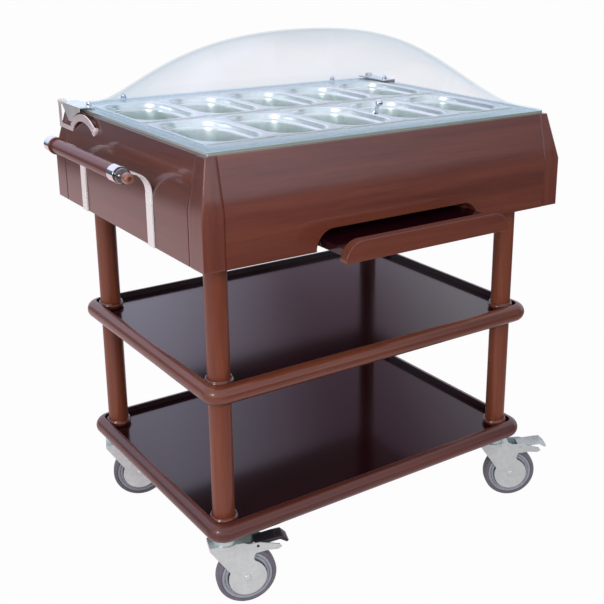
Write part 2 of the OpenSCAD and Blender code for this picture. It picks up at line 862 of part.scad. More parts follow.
// Wheel centre: a thick bore, a thin web and a rim
module hub(i) {
    w = wheel_w / 2;
    color("#8e8f96") at_caster(i) translate([trail, 0, wheel_r]) rotate([90, 0, 0])
        rotate_extrude($fn = 96) union() {
            translate([axle_d / 2 + run_gap, -leg_in + rest_gap]) square([7, 2 * (leg_in - rest_gap)]);
            translate([axle_d / 2 + 5, -3]) square([hub_r - axle_d / 2 - 7, 6]);
            translate([hub_r - 4, -w + 1]) square([4, wheel_w - 2]);
        }
}

// Brake pedal: a tread plate between the fork's arms, with its shoe and pivot pin
module pedal(i) {
    shoe_z = wheel_d - 3;
    color("#3a3a40") at_caster(i) {
        rotate([90, 0, 0]) linear_extrude(pedal_w, center = true) union() {
            polygon([
                [trail + 18, wheel_d + 13], [trail + 62, wheel_d + 19], [trail + 80, wheel_d + 20],
                [pedal_tip, wheel_d + 7], [pedal_tip - 4, wheel_d + 3],
                [trail + 74, wheel_d + 12], [trail + 30, wheel_d + 6], [trail + 20, wheel_d + 6]
            ]);
            polygon([
                [trail + 27, wheel_d + 7], [trail + 32, shoe_z], [trail + 40, shoe_z], [trail + 46, wheel_d + 9]
            ]);
        }
        translate([pedal_pivot[0], 0, pedal_pivot[1]]) rotate([90, 0, 0])
            cylinder(d = 6, h = 2 * leg_out + 2, center = true);
    }
}

shelf_rim(low_top);  // lower_shelf_rim
shelf_panel(low_top);  // lower_shelf_panel
shelf_rim(mid_top);  // middle_shelf_rim
shelf_panel(mid_top);  // middle_shelf_panel
lower_posts();
upper_posts();
post_collars();
tie_rods();
corner_blocks();
front_panel();
rear_panel();
left_panel();
right_panel();
box_floor();
well_liner();
top_frame();
divider_bars();
pan(1, -1);  // pan_front_1
pan(2, -1);  // pan_front_2
pan(3, -1);  // pan_front_3
pan(4, -1);  // pan_front_4
pan(5, -1);  // pan_front_5
pan(1, 1);  // pan_rear_1
pan(2, 1);  // pan_rear_2
pan(3, 1);  // pan_rear_3
pan(4, 1);  // pan_rear_4
pan(5, 1);  // pan_rear_5
dome();
dome_knob();
dome_bolts();
hinge_leaf_left();
hinge_leaf_right();
hinge_bracket_left();
hinge_bracket_right();
plate_shelf_board();
plate_shelf_lip();
shelf_runners();
handle_bar();
handle_bands();
handle_finial();
handle_straps();
caster_plates();
fork(0, true);  // fork_front_left
fork(1, true);  // fork_front_right
fork(2, false);  // fork_rear_left
fork(3, false);  // fork_rear_right
axle(0);  // axle_front_left
axle(1);  // axle_front_right
axle(2);  // axle_rear_left
axle(3);  // axle_rear_right
tyre(0);  // tyre_front_left
tyre(1);  // tyre_front_right
tyre(2);  // tyre_rear_left
tyre(3);  // tyre_rear_right
hub(0);  // hub_front_left
hub(1);  // hub_front_right
hub(2);  // hub_rear_left
hub(3);  // hub_rear_right
pedal(0);  // pedal_front_left
pedal(1);  // pedal_front_right
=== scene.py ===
import json
from math import cos, pi, radians, sin

import bmesh
import bpy
from mathutils import Matrix, Vector

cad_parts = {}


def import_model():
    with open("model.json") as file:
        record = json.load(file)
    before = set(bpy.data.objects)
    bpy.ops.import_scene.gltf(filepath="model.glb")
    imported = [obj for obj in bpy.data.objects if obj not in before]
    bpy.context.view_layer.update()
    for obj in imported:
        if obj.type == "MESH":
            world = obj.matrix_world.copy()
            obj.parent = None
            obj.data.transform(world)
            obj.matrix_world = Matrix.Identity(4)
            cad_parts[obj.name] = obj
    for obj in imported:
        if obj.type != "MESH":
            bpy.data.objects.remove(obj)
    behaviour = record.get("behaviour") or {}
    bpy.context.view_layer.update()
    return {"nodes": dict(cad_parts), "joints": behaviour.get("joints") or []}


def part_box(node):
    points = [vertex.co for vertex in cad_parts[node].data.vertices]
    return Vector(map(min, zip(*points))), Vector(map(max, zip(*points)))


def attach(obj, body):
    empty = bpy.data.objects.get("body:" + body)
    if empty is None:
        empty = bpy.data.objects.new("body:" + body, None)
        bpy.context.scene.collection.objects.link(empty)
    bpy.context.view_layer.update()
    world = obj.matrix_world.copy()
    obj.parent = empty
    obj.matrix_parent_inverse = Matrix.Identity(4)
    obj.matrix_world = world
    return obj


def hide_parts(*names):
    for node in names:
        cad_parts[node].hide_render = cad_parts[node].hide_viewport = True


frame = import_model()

MM = 0.001
NODES = frame["nodes"]


# Frame measures

def middle(node):
    """Centre of a node's box."""
    low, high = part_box(node)
    return (low + high) / 2


def half_size(node):
    """Half sizes of a node's box."""
    low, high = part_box(node)
    return (high - low) / 2


CART = middle("top_frame")
CORNERS = ("front_left", "front_right", "rear_left", "rear_right")
JOINTS = {joint["name"]: joint for joint in frame["joints"]}


# Colours and node trees

def srgb(red, green, blue):
    """Linear RGBA of a colour given in the photograph's own 0 to 255 units."""
    def linear(value):
        share = value / 255
        return share / 12.92 if share <= 0.04045 else ((share + 0.055) / 1.055) ** 2.4
    return (linear(red), linear(green), linear(blue), 1.0)


class Tree:
    """Node tree of one material or world."""

    def __init__(self, owner):
        self.owner = owner
        owner.use_nodes = True
        self.nodes = owner.node_tree.nodes
        self.links = owner.node_tree.links
        self.nodes.clear()

    def add(self, kind, inputs=None, **settings):
        """Adds a node; inputs holds values or sockets by name or number."""
        node = self.nodes.new("ShaderNode" + kind)
        for name, value in settings.items():
            setattr(node, name, value)
        for key, value in (inputs or {}).items():
            if isinstance(value, bpy.types.NodeSocket):
                self.links.new(value, node.inputs[key])
            else:
                node.inputs[key].default_value = value
        return node

    def math(self, operation, first, second=0.0):
        """Result of one math operation on values or sockets."""
        return self.add("Math", {0: first, 1: second}, operation=operation).outputs[0]

    def blend(self, share, first, second, kind="MIX"):
        """Two colours blended by a share."""
        return self.add("Mix", {0: share, 6: first, 7: second}, data_type="RGBA",
                        blend_type=kind).outputs[2]

    def noise(self, scales, detail, roughness=0.55, distortion=0.0):
        """Grey noise in object coordinates, with one scale per axis."""
        return self.add("TexNoise", {
            "Vector": self.stretched(scales), "Scale": 1.0, "Detail": detail,
            "Roughness": roughness, "Distortion": distortion}).outputs["Fac"]

    def spread(self, value, low, high):
        """A 0 to 1 value spread between two numbers."""
        return self.add("MapRange", {"Value": value, "To Min": low, "To Max": high}).outputs[0]

    def ramp(self, value, *stops):
        """Colour ramp with stops of (place, colour)."""
        node = self.add("ValToRGB", {"Fac": value})
        elements = node.color_ramp.elements
        while len(elements) < len(stops):
            elements.new(0.5)
        for element, (place, colour) in zip(elements, stops):
            element.position = place
            element.color = colour
        return node.outputs["Color"]

    def bump(self, height, depth, strength):
        """Normal of a bumped surface."""
        return self.add("Bump", {
            "Height": height, "Distance": depth, "Strength": strength}).outputs["Normal"]

    def stretched(self, scales):
        """Object coordinates multiplied by one scale per axis."""
        place = self.add("TexCoord").outputs["Object"]
        return self.add("Mapping", {"Vector": place, "Scale": scales}).outputs["Vector"]


def finish_material(tree, shader):
    """Links a shader to the output of a material's tree and gives the material."""
    tree.add("OutputMaterial", {"Surface": shader})
    return tree.owner


def start_material(name):
    """Empty node tree of a new material."""
    return Tree(bpy.data.materials.new(name))


# Wood and laminate

GRAIN_ALONG = 1.6
GRAIN_ACROSS = 34.0
PORES_ALONG = 16.0
PORES_ACROSS = 620.0


def grain_scales(axis, along, across):
    """Scales per axis for a grain that runs along X, Y or Z."""
    return tuple(along if letter == axis else across for letter in "XYZ")


SOFT_CORNER_SAMPLES = 8

# A rim's faces count as inner ones from its width less a slack, and as upright ones where their
# normal's Z is small
RIM_WIDTH = 0.022
RIM_SLACK = 0.0012
UPRIGHT_BELOW = 0.6
# Painted shade: the darker colours for the shelf rims' inner upright faces, standing for the shadow
# that falls in them
INNER_PAINTED_SHADE = (srgb(30, 9, 12), srgb(40, 15, 19))
LACQUER_COAT_ROUGHNESS = 0.1
PORE_DEPTH = 0.00002


def distances_from_middle(tree):
    """Distances along X and Y from the cart's middle."""
    plan = tree.add("SeparateXYZ", {0: tree.add("TexCoord").outputs["Object"]}).outputs
    return [tree.math("ABSOLUTE", tree.math("SUBTRACT", plan[i], CART[i])) for i in (0, 1)]


def inner_faces(tree, away, rim):
    """Where a shelf rim's inner upright faces are, from the distances to the rim's middle."""
    insets = [tree.math("SUBTRACT", half, distance) for half, distance in zip((rim.x, rim.y), away)]
    least = tree.math("MINIMUM", insets[0], insets[1])
    within = tree.math("GREATER_THAN", least, RIM_WIDTH - RIM_SLACK)
    rise = tree.add("SeparateXYZ", {0: tree.add("NewGeometry").outputs["Normal"]}).outputs[2]
    upright = tree.math("LESS_THAN", rise, UPRIGHT_BELOW)
    return tree.math("MULTIPLY", within, upright)


def lacquered_wood(name, axes, colours, roughness=0.38, coat=0.8, soft_corner=0.0):
    """Stained wood under lacquer. With two axes, as on a shelf's rim, the grain runs along X on
    the two long sides and along Y on the short ones, with a mitre at the corners, and the rim's
    inner upright faces get a painted shade. A soft corner rounds the lacquer's gloss over that many
    metres."""
    tree = start_material(name)
    two_ways = len(axes) == 2
    if two_ways:
        rim = half_size("lower_shelf_rim")
        away = distances_from_middle(tree)
        mitre = tree.math("GREATER_THAN", tree.math("SUBTRACT", *away), rim.x - rim.y)

    def layer(along, across, detail):
        fields = [tree.noise(grain_scales(axis, along, across), detail, 0.6, 0.25)
                  for axis in axes]
        if not two_ways:
            return fields[0]
        return tree.add("Mix", {0: mitre, 2: fields[0], 3: fields[1]}).outputs[0]

    figure = layer(GRAIN_ALONG, GRAIN_ACROSS, 5.0)
    pores = layer(PORES_ALONG, PORES_ACROSS, 3.0)
    dark, body, light = colours
    stain = tree.ramp(figure, (0.3, dark), (0.5, body), (0.72, light))
    pore_shade = tree.ramp(pores, (0.34, (0.86, 0.83, 0.82, 1)), (0.5, (1, 1, 1, 1)))
    base = tree.blend(1.0, stain, pore_shade, "MULTIPLY")
    if two_ways:
        # Painted shade on the rim's inner upright faces
        shade = tree.ramp(figure, (0.3, INNER_PAINTED_SHADE[0]), (0.7, INNER_PAINTED_SHADE[1]))
        base = tree.blend(inner_faces(tree, away, rim), base, shade)
    shader = tree.add("BsdfPrincipled", {
        "Base Color": base, "Roughness": tree.spread(figure, roughness - 0.05, roughness + 0.07),
        "IOR": 1.45, "Coat Weight": coat, "Coat Roughness": LACQUER_COAT_ROUGHNESS,
        "Normal": tree.bump(pores, PORE_DEPTH, 0.3)})
    if soft_corner:
        rounded = tree.add("Bevel", {"Radius": soft_corner}, samples=SOFT_CORNER_SAMPLES).outputs[0]
        tree.links.new(rounded, shader.inputs["Coat Normal"])
    return finish_material(tree, shader.outputs[0])


MAHOGANY = (srgb(80, 34, 24), srgb(94, 44, 31), srgb(106, 53, 36))
POST_WOOD = (srgb(98, 44, 26), srgb(113, 56, 34), srgb(127, 67, 41))
RIM_WOOD = (srgb(84, 37, 22), srgb(99, 48, 30), srgb(112, 58, 37))
# Painted shade: the lower rim's wood is a darker copy of the middle rim's, for the dimmer light low
# down
LOW_RIM_SHADED_WOOD = (srgb(66, 27, 19), srgb(80, 35, 25), srgb(92, 43, 31))
HANDLE_WOOD = (srgb(82, 30, 23), srgb(97, 40, 30), srgb(110, 50, 37))
COLLAR_STAIN = (srgb(78, 33, 22), srgb(94, 43, 29), srgb(110, 54, 36))
BUTTON_WOOD = (srgb(112, 66, 52), srgb(130, 82, 66), srgb(146, 96, 78))
BALL_STAIN = (srgb(38, 26, 25), srgb(50, 36, 34), srgb(62, 46, 43))


def dark_laminate():
    """Near-black shelf surface with a fine film of unevenness in its gloss."""
    tree = start_material("dark_laminate")
    cloud = tree.noise((3, 3, 3), 4.0)
    fine = tree.noise((260, 260, 260), 3.0)
    base = tree.ramp(cloud, (0.3, srgb(28, 4, 11)), (0.7, srgb(37, 9, 17)))
    shader = tree.add("BsdfPrincipled", {
        "Base Color": base, "Roughness": tree.spread(cloud, 0.11, 0.16), "IOR": 1.48,
        "Normal": tree.bump(fine, PORE_DEPTH, 0.3)})
    return finish_material(tree, shader.outputs[0])


def raw_wood():
    """Dark plywood of the hidden box floor, whose underside the shelf below it mirrors."""
    tree = start_material("raw_wood")
    figure = tree.noise(grain_scales("X", 2, 40), 5.0, 0.6, 0.3)
    base = tree.ramp(figure, (0.3, srgb(30, 15, 13)), (0.7, srgb(50, 28, 23)))
    shader = tree.add("BsdfPrincipled", {
        "Base Color": base, "Roughness": tree.spread(figure, 0.6, 0.8),
        "Normal": tree.bump(figure, 0.0001, 0.5)})
    return finish_material(tree, shader.outputs[0])


# Metals

def metal(name, pale, dull, scales, rough, brush, anisotropic=0.0, metallic=1.0):
    """Metal with brush lines or blotches: scales stretch the pattern, rough is the range of
    the roughness, brush is the depth of the lines in metres, and a metallic share under 1
    stands for a fine, matt film."""
    tree = start_material(name)
    lines = tree.noise(scales, 4.0, 0.6)
    cloud = tree.noise((14, 14, 14), 3.0)
    base = tree.ramp(tree.math("MULTIPLY", lines, cloud), (0.1, dull), (0.4, pale))
    shader = tree.add("BsdfPrincipled", {
        "Base Color": base, "Metallic": metallic, "Roughness": tree.spread(cloud, *rough),
        "Anisotropic": anisotropic, "Normal": tree.bump(lines, brush, 0.6)})
    return finish_material(tree, shader.outputs[0])


def clear_acrylic():
    """Clear sheet: it mirrors more and is greyer where it is seen along its surface."""
    tree = start_material("clear_acrylic")
    edge = tree.add("LayerWeight", {"Blend": 0.4}).outputs["Facing"]
    cloud = tree.noise((2.5, 2.5, 2.5), 2.0)
    tint = tree.ramp(edge, (0.0, srgb(254, 254, 255)), (0.4, srgb(253, 253, 254)),
                     (0.65, srgb(247, 249, 251)), (1.0, srgb(238, 243, 246)))
    clear = tree.add("BsdfTransparent", {"Color": tint})
    gloss = tree.add("BsdfGlossy", {
        "Color": srgb(240, 243, 246), "Roughness": tree.spread(cloud, 0.05, 0.1)})
    share = tree.add("MapRange", {
        "Value": tree.add("Fresnel", {"IOR": 1.3}).outputs[0], "To Max": 0.08}).outputs[0]
    shader = tree.add("MixShader", {0: share, 1: clear.outputs[0], 2: gloss.outputs[0]})
    return finish_material(tree, shader.outputs[0])


# Rubber and plastic

SKIN_GRAIN = 900
SKIN_DEPTH = 0.00004


def moulded(name, dark, light, roughness):
    """Moulded rubber or plastic with a fine skin."""
    tree = start_material(name)
    cloud = tree.noise((30, 30, 30), 3.0)
    skin = tree.noise((SKIN_GRAIN, SKIN_GRAIN, SKIN_GRAIN), 2.0)
    shader = tree.add("BsdfPrincipled", {
        "Base Color": tree.ramp(cloud, (0.3, dark), (0.7, light)),
        "Roughness": tree.spread(cloud, roughness - 0.06, roughness + 0.06),
        "Normal": tree.bump(skin, SKIN_DEPTH, 0.4)})
    return finish_material(tree, shader.outputs[0])


WOOD_X = lacquered_wood("mahogany_along_x", "X", MAHOGANY)
WOOD_Y = lacquered_wood("mahogany_along_y", "Y", MAHOGANY)
WOOD_BLOCK = lacquered_wood("mahogany_block", "Z", MAHOGANY, soft_corner=0.007)
WOOD_POST = lacquered_wood("mahogany_along_z", "Z", POST_WOOD, roughness=0.45, coat=0.35)
WOOD_HANDLE = lacquered_wood("mahogany_handle", "Y", HANDLE_WOOD, roughness=0.42, coat=0.25)
WOOD_RUNNER = lacquered_wood("runner_wood", "Y", MAHOGANY, roughness=0.55, coat=0.1)
WOOD_RIM = lacquered_wood("mahogany_rim", "XY", RIM_WOOD, roughness=0.42, coat=0.5)
# Same wood as the middle rim, with painted shade for the lower rim
WOOD_LOW_RIM_SHADED = lacquered_wood("mahogany_low_rim_painted_shade", "XY", LOW_RIM_SHADED_WOOD, roughness=0.42, coat=0.4)
WOOD_COLLAR = lacquered_wood("dark_turned_wood", "Z", COLLAR_STAIN, roughness=0.3, coat=0.6)
WOOD_BALL = lacquered_wood("turned_ball_wood", "Y", BALL_STAIN, roughness=0.2, coat=1.0)
WOOD_BUTTON = lacquered_wood("turned_end_wood", "Y", BUTTON_WOOD, roughness=0.3, coat=0.8)
LAMINATE = dark_laminate()
RAW_WOOD = raw_wood()
STAINLESS = metal("brushed_stainless", srgb(198, 212, 205), srgb(188, 203, 197),
                  (5, 300, 300), (0.2, 0.28), 0.000003, anisotropic=0.3, metallic=0.68)
PAN_STEEL = metal("drawn_stainless", srgb(228, 238, 233), srgb(216, 228, 224),
                  (120, 120, 16), (0.26, 0.34), 0.000003, metallic=0.85)
CHROME = metal("chrome", srgb(222, 226, 231), srgb(206, 211, 218),
               (40, 40, 40), (0.04, 0.1), 0.000002)
ZINC = metal("zinc_plated_steel", srgb(208, 222, 220), srgb(190, 204, 203),
             (90, 90, 90), (0.26, 0.38), 0.00001, metallic=0.6)
SATIN = metal("satin_steel", srgb(249, 250, 250), srgb(240, 241, 242),
              (300, 300, 8), (0.22, 0.32), 0.000005, metallic=0.35)
HINGE_LEAF = metal("plated_leaf", srgb(228, 230, 233), srgb(210, 213, 217),
                   (40, 40, 40), (0.1, 0.18), 0.000003, metallic=0.45)
HINGE_ARM = metal("pale_plated_steel", srgb(236, 226, 227), srgb(222, 211, 213),
                  (60, 60, 60), (0.2, 0.3), 0.000004, metallic=0.55)
ACRYLIC = clear_acrylic()
TREAD = moulded("dark_grey_tread", srgb(92, 89, 100), srgb(108, 105, 117), 0.5)
WHEEL_BAND = moulded("pale_grey_band", srgb(140, 143, 153), srgb(156, 160, 169), 0.45)
WHEEL_PLASTIC = moulded("grey_plastic", srgb(138, 141, 151), srgb(152, 156, 165), 0.45)
BLACK_PEDAL = moulded("black_pedal", srgb(24, 24, 29), srgb(40, 40, 47), 0.3)
GREY_PEDAL = moulded("grey_pedal", srgb(168, 176, 182), srgb(190, 197, 203), 0.4)
PEDALS = {"front_left": (BLACK_PEDAL, "black_pedal"), "front_right": (GREY_PEDAL, "grey_pedal")}


# Mesh helpers

def piece(name, vertices, faces, material, body, replaces=()):
    """Builds one closed piece and lets it ride on a body."""
    mesh = bpy.data.meshes.new(name)
    mesh.from_pydata([tuple(v) for v in vertices], [], faces)
    work = bmesh.new()
    work.from_mesh(mesh)
    bmesh.ops.recalc_face_normals(work, faces=work.faces)
    work.to_mesh(mesh)
    work.free()
    mesh.polygons.foreach_set("use_smooth", [True] * len(mesh.polygons))
    mesh.materials.append(material)
    thing = bpy.data.objects.new(name, mesh)
    bpy.context.scene.collection.objects.link(thing)
    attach(thing, body)
    if replaces:
        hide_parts(*replaces)
    return thing


def ring_faces(rings, count, closed_path=False):
    """Quads between neighbouring rings of count points each."""
    faces = []
    for i in range(rings if closed_path else rings - 1):
        a, b = i * count, ((i + 1) % rings) * count
        for j in range(count):
            k = (j + 1) % count
            faces.append((a + j, a + k, b + k, b + j))
    return faces


def lathe(profile, segments=72):
    """Vertices and faces of a profile of (radius, height) turned about Z. A profile that ends
    off the axis at both ends is closed into a ring."""
    closed = profile[0][0] > 0 and profile[-1][0] > 0
    rings = [p for p in profile if p[0] > 0]
    turns = [2 * pi * j / segments for j in range(segments)]
    points = [(radius * cos(turn), radius * sin(turn), height)
              for radius, height in rings for turn in turns]
    faces = ring_faces(len(rings), segments, closed)
    if not closed:
        last = (len(rings) - 1) * segments
        for centre, start in ((profile[0], 0), (profile[-1], last)):
            points.append((0, 0, centre[1]))
            tip = len(points) - 1
            faces += [(tip, start + j, start + (j + 1) % segments) for j in range(segments)]
    return points, faces


def arc(centre, radius, start, end, steps):
    """Points of an arc in a profile's plane, between two angles in degrees."""
    return [(centre[0] + radius * cos(radians(start + (end - start) * i / steps)),
             centre[1] + radius * sin(radians(start + (end - start) * i / steps)))
            for i in range(steps + 1)]


def both_sides(half):
    """Profile of a piece whose second half mirrors the first one in height."""
    return half + [(radius, -height) for radius, height in reversed(half)]


WELD_GAP = 0.00001
FLAT_ANGLE = 0.5
EDGE_ANGLE = 35
EDGE_SEGMENTS = 3


def round_edges(thing, width):
    """Rounds a piece's sharp edges; the facets of one flat face are joined first."""
    weld = thing.modifiers.new("weld", "WELD")
    weld.merge_threshold = WELD_GAP
    flat = thing.modifiers.new("flat", "DECIMATE")
    flat.decimate_type = "DISSOLVE"
    flat.angle_limit = radians(FLAT_ANGLE)
    bevel = thing.modifiers.new("bevel", "BEVEL")
    bevel.width = width
    bevel.segments = EDGE_SEGMENTS
    bevel.limit_method = "ANGLE"
    bevel.angle_limit = radians(EDGE_ANGLE)
    bevel.use_clamp_overlap = True
    bevel.harden_normals = True


def dress(nodes, material, width):
    """Gives CAD nodes their material and edges rounded to a width in metres."""
    for node in nodes:
        thing = NODES[node]
        if not thing.material_slots:
            thing.data.materials.append(material)
        for slot in thing.material_slots:
            slot.material = material
        thing.data.polygons.foreach_set("use_smooth", [True] * len(thing.data.polygons))
        normals = thing.data.attributes.get("custom_normal")
        if normals is not None:
            thing.data.attributes.remove(normals)
        round_edges(thing, width)


# Pans

def rounded_ring(half_x, half_y, radius, height, steps):
    """Points of a rectangle with round corners at one height."""
    points = []
    for quarter, (sx, sy) in enumerate(((1, 1), (-1, 1), (-1, -1), (1, -1))):
        for i in range(steps + 1):
            a = radians(90 * quarter + 90 * i / steps)
            points.append((sx * (half_x - radius) + radius * cos(a),
                           sy * (half_y - radius) + radius * sin(a), height))
    return points


def loft(levels, steps):
    """Rings of (half_x, half_y, radius, height), capped at both ends; steps per round corner."""
    points = [p for level in levels for p in rounded_ring(*level, steps)]
    count = 4 * (steps + 1)
    faces = ring_faces(len(levels), count)
    faces.append(tuple(range(count)))
    faces.append(tuple(range((len(levels) - 1) * count, len(levels) * count)))
    return points, faces


PAN_SHEET = 1.2
PAN_CORNER = 12
PAN_CORNER_STEPS = 12
PAN_EDGE_ROUND = 0.3
MOUTH_INSET = 9
MOUTH_UNDERCUT = 0.6

# Inside of a pan from its rim's edge to its floor: inset, height over the rim, corner radius
PAN_RIM = [(0.3, -0.25, 12), (0.9, 0.0, 12), (4.6, 0.0, 30)]
PAN_WALL = [
    (6.6, 0.0, 54), (8.2, -0.5, 58), (9.6, -2.0, 58), (10.3, -4.6, 58), (10.7, -11.0, 58),
    (11.2, -12.8, 57), (12.6, -14.0, 56), (14.2, -14.9, 54), (15.2, -16.8, 53), (15.6, -20.0, 53),
    (16.6, -52.0, 50), (17.8, -84.0, 47), (19.0, -90.0, 45), (22.0, -95.0, 42), (26.5, -97.6, 38),
    (32.0, -98.5, 32), (46.0, -98.8, 20),
]


def pan(node):
    """Deep-drawn pan: flat rim, rounded mouth, stacking shoulder, tapered wall, rounded foot."""
    half = half_size(node) / MM
    centre = middle(node)
    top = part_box(node)[1].z

    def level(inset, extra, radius, height):
        return (half.x - inset - extra, half.y - inset - extra, radius, height)

    inside = [level(inset, 0, radius, height) for inset, height, radius in PAN_RIM + PAN_WALL]
    edge = level(0, 0, PAN_CORNER, -PAN_SHEET / 2)
    lip = level(PAN_EDGE_ROUND, 0, PAN_CORNER, -PAN_SHEET)
    outside = [level(inset - PAN_SHEET, MOUTH_UNDERCUT if inset < MOUTH_INSET else 0, radius,
                     height - PAN_SHEET) for inset, height, radius in PAN_WALL]
    points, faces = loft(inside[::-1] + [edge, lip] + outside, PAN_CORNER_STEPS)
    place = Matrix.Translation((centre.x, centre.y, top)) @ Matrix.Scale(MM, 4)
    vertices = [place @ Vector(p) for p in points]
    piece("deep_" + node, vertices, faces, PAN_STEEL, "cart", [node])


# Dome

DOME_SHEET = 3 * MM
FLANGE = 25 * MM
ALONG_POWER = 2.2
ALONG_ROOT = 0.45
ACROSS_POWER = 1.7
ACROSS_ROOT = 1.38
DOME_STEPS_ALONG = 128
DOME_STEPS_ACROSS = 104
FLANGE_STEPS = 3
DOME_SHARP_ANGLE = 32


def swell(u, v):
    """Dome's height above its flange as a share, for plan shares u and v of the half sizes."""
    along = 1 - min(abs(u), 1) ** ALONG_POWER
    across = 1 - min(abs(v), 1) ** ACROSS_POWER
    return along ** ALONG_ROOT * across ** ACROSS_ROOT


def grid_places(half, inner, count):
    """Places over one direction of the dome, closer near the edge of the blown part."""
    blown = [-inner * cos(pi * i / count) for i in range(count + 1)]
    flange = [half - (half - inner) * i / FLANGE_STEPS for i in range(FLANGE_STEPS)]
    return [-x for x in flange] + blown + flange[::-1]


def dome():
    """Blown dome with its flat flange, one thin closed shell."""
    low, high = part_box("dome")
    half = (high - low) / 2
    centre = (low + high) / 2
    rise = high.z - low.z - DOME_SHEET
    xs = grid_places(half.x, half.x - FLANGE, DOME_STEPS_ALONG)
    ys = grid_places(half.y, half.y - FLANGE, DOME_STEPS_ACROSS)
    vertices, faces = [], []
    for lift, inset in ((DOME_SHEET, 0.0), (0.0, DOME_SHEET)):
        blown_x, blown_y = half.x - FLANGE - inset, half.y - FLANGE - inset
        vertices += [(centre.x + x, centre.y + y,
                      low.z + lift + rise * swell(x / blown_x, y / blown_y))
                     for x in xs for y in ys]
    rows, columns = len(xs), len(ys)
    count = rows * columns
    for i in range(rows - 1):
        for j in range(columns - 1):
            k = i * columns + j
            faces.append((k, k + columns, k + columns + 1, k + 1))
            faces.append(tuple(count + n for n in (k, k + 1, k + columns + 1, k + columns)))
    edge = [(i, 0) for i in range(rows - 1)]
    edge += [(rows - 1, j) for j in range(columns - 1)]
    edge += [(i, columns - 1) for i in range(rows - 1, 0, -1)]
    edge += [(0, j) for j in range(columns - 1, 0, -1)]
    places = [i * columns + j for i, j in edge]
    for n, a in enumerate(places):
        b = places[(n + 1) % len(places)]
        faces.append((a, b, b + count, a + count))
    thing = piece("clear_dome", vertices, faces, ACRYLIC, "dome", ["dome"])
    thing.data.set_sharp_from_angle(angle=radians(DOME_SHARP_ANGLE))


# Turned and revolved pieces

def along_axis(origin, direction):
    """Matrix that puts a lathe piece's Z along a direction, in millimetres."""
    turn = Vector((0, 0, 1)).rotation_difference(Vector(direction)).to_matrix().to_4x4()
    return Matrix.Translation(origin) @ turn @ Matrix.Scale(MM, 4)


def turned(name, profile, origin, direction, material, body, replaces=(), segments=72):
    """Lathe piece from a profile of (radius, height) in millimetres."""
    points, faces = lathe(profile, segments)
    place = along_axis(origin, direction)
    vertices = [place @ Vector(p) for p in points]
    piece(name, vertices, faces, material, body, replaces)


TYRE_R = half_size("tyre_front_left").z / MM
TYRE_IN = TYRE_R - 17.4
BAND_OUT = TYRE_R - 10.5
TREAD_ROUND = 7.9
HUB_R = TYRE_IN - 0.2
FORK_FACE = 22.0
WHEEL_SEGMENTS = 96
AXLE_SEGMENTS = 48


def tyre(corner):
    """Wheel's solid tyre: a pale band at each side and a darker, rounded tread round it."""
    joint = JOINTS["wheel_" + corner]
    band = [(TYRE_IN, 13.5), (TYRE_IN + 1.2, 14.6), (TYRE_IN + 2.4, 15.4), (BAND_OUT - 1.5, 15.7),
            (BAND_OUT, 14.6), (BAND_OUT + 0.3, 12.0)]
    tread = [(BAND_OUT + 0.3, 12.0), (BAND_OUT + 0.6, 14.8), (BAND_OUT + 1.4, 15.8)]
    tread += arc((TYRE_R - 0.2 - TREAD_ROUND, 8), TREAD_ROUND, 78, 8, 7) + [(TYRE_R, 4.0)]
    turned("wheel_band_" + corner, both_sides(band), joint["pos_m"], joint["axis"], WHEEL_BAND,
           "wheel_" + corner, (), WHEEL_SEGMENTS)
    turned("grey_tread_" + corner, both_sides(tread), joint["pos_m"], joint["axis"], TREAD,
           "wheel_" + corner, ["tyre_" + corner], WHEEL_SEGMENTS)


def hub(corner):
    """Wheel centre with a dished web and a thick bore."""
    joint = JOINTS["wheel_" + corner]
    half = [(6.1, 18.6), (12.6, 18.6), (13.1, 18.0), (13.6, 4.2), (15, 3.2), (HUB_R - 10, 3.2),
            (HUB_R - 7, 4.4), (HUB_R - 6, 14.4), (HUB_R - 5.2, 15.2), (HUB_R - 0.6, 15.4),
            (HUB_R, 14.6)]
    turned("wheel_centre_" + corner, both_sides(half), joint["pos_m"], joint["axis"],
           WHEEL_PLASTIC, "wheel_" + corner, ["hub_" + corner], WHEEL_SEGMENTS)


def axle(corner):
    """Axle with a low riveted head on each outer face of its fork."""
    joint = JOINTS["wheel_" + corner]
    half = [(0, FORK_FACE + 2.4), (3.0, FORK_FACE + 2.3), (6.4, FORK_FACE + 1.6),
            (7.6, FORK_FACE + 0.6), (7.6, FORK_FACE + 0.1), (5.9, FORK_FACE + 0.05)]
    turned("riveted_axle_" + corner, both_sides(half), joint["pos_m"], joint["axis"], ZINC,
           "swivel_" + corner, ["axle_" + corner], AXLE_SEGMENTS)


def finial():
    """Turned ball with a bored button at the front end of the handle."""
    low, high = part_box("handle_finial")
    origin = ((low.x + high.x) / 2, high.y, (low.z + high.z) / 2)
    ball = [(0, 0), (11.6, 0), (12.6, 0.7)] + arc((5.4, 10.5), 10.5, -50, 50, 14)
    ball += [(9.7, 21.2), (8.7, 23.2), (8.5, 25.5), (0, 25.5)]
    button = [(0, 24.8), (9.4, 24.8), (10.6, 25.8), (11.2, 28.0), (11.4, 33.0), (11.0, 38.0),
              (9.9, 41.4), (8.4, 43.2), (6.4, 44.0), (4.8, 43.7), (4.2, 42.6), (4.0, 33.0),
              (0, 33.0)]
    forward = (0, -1, 0)
    turned("turned_ball", ball, origin, forward, WOOD_BALL, "cart", ["handle_finial"])
    turned("bored_button", button, origin, forward, WOOD_BUTTON, "cart", ())


COLLAR_HEIGHT = 16
COLLAR_CAD_R = 27.5
COLLAR_SEGMENTS = 64


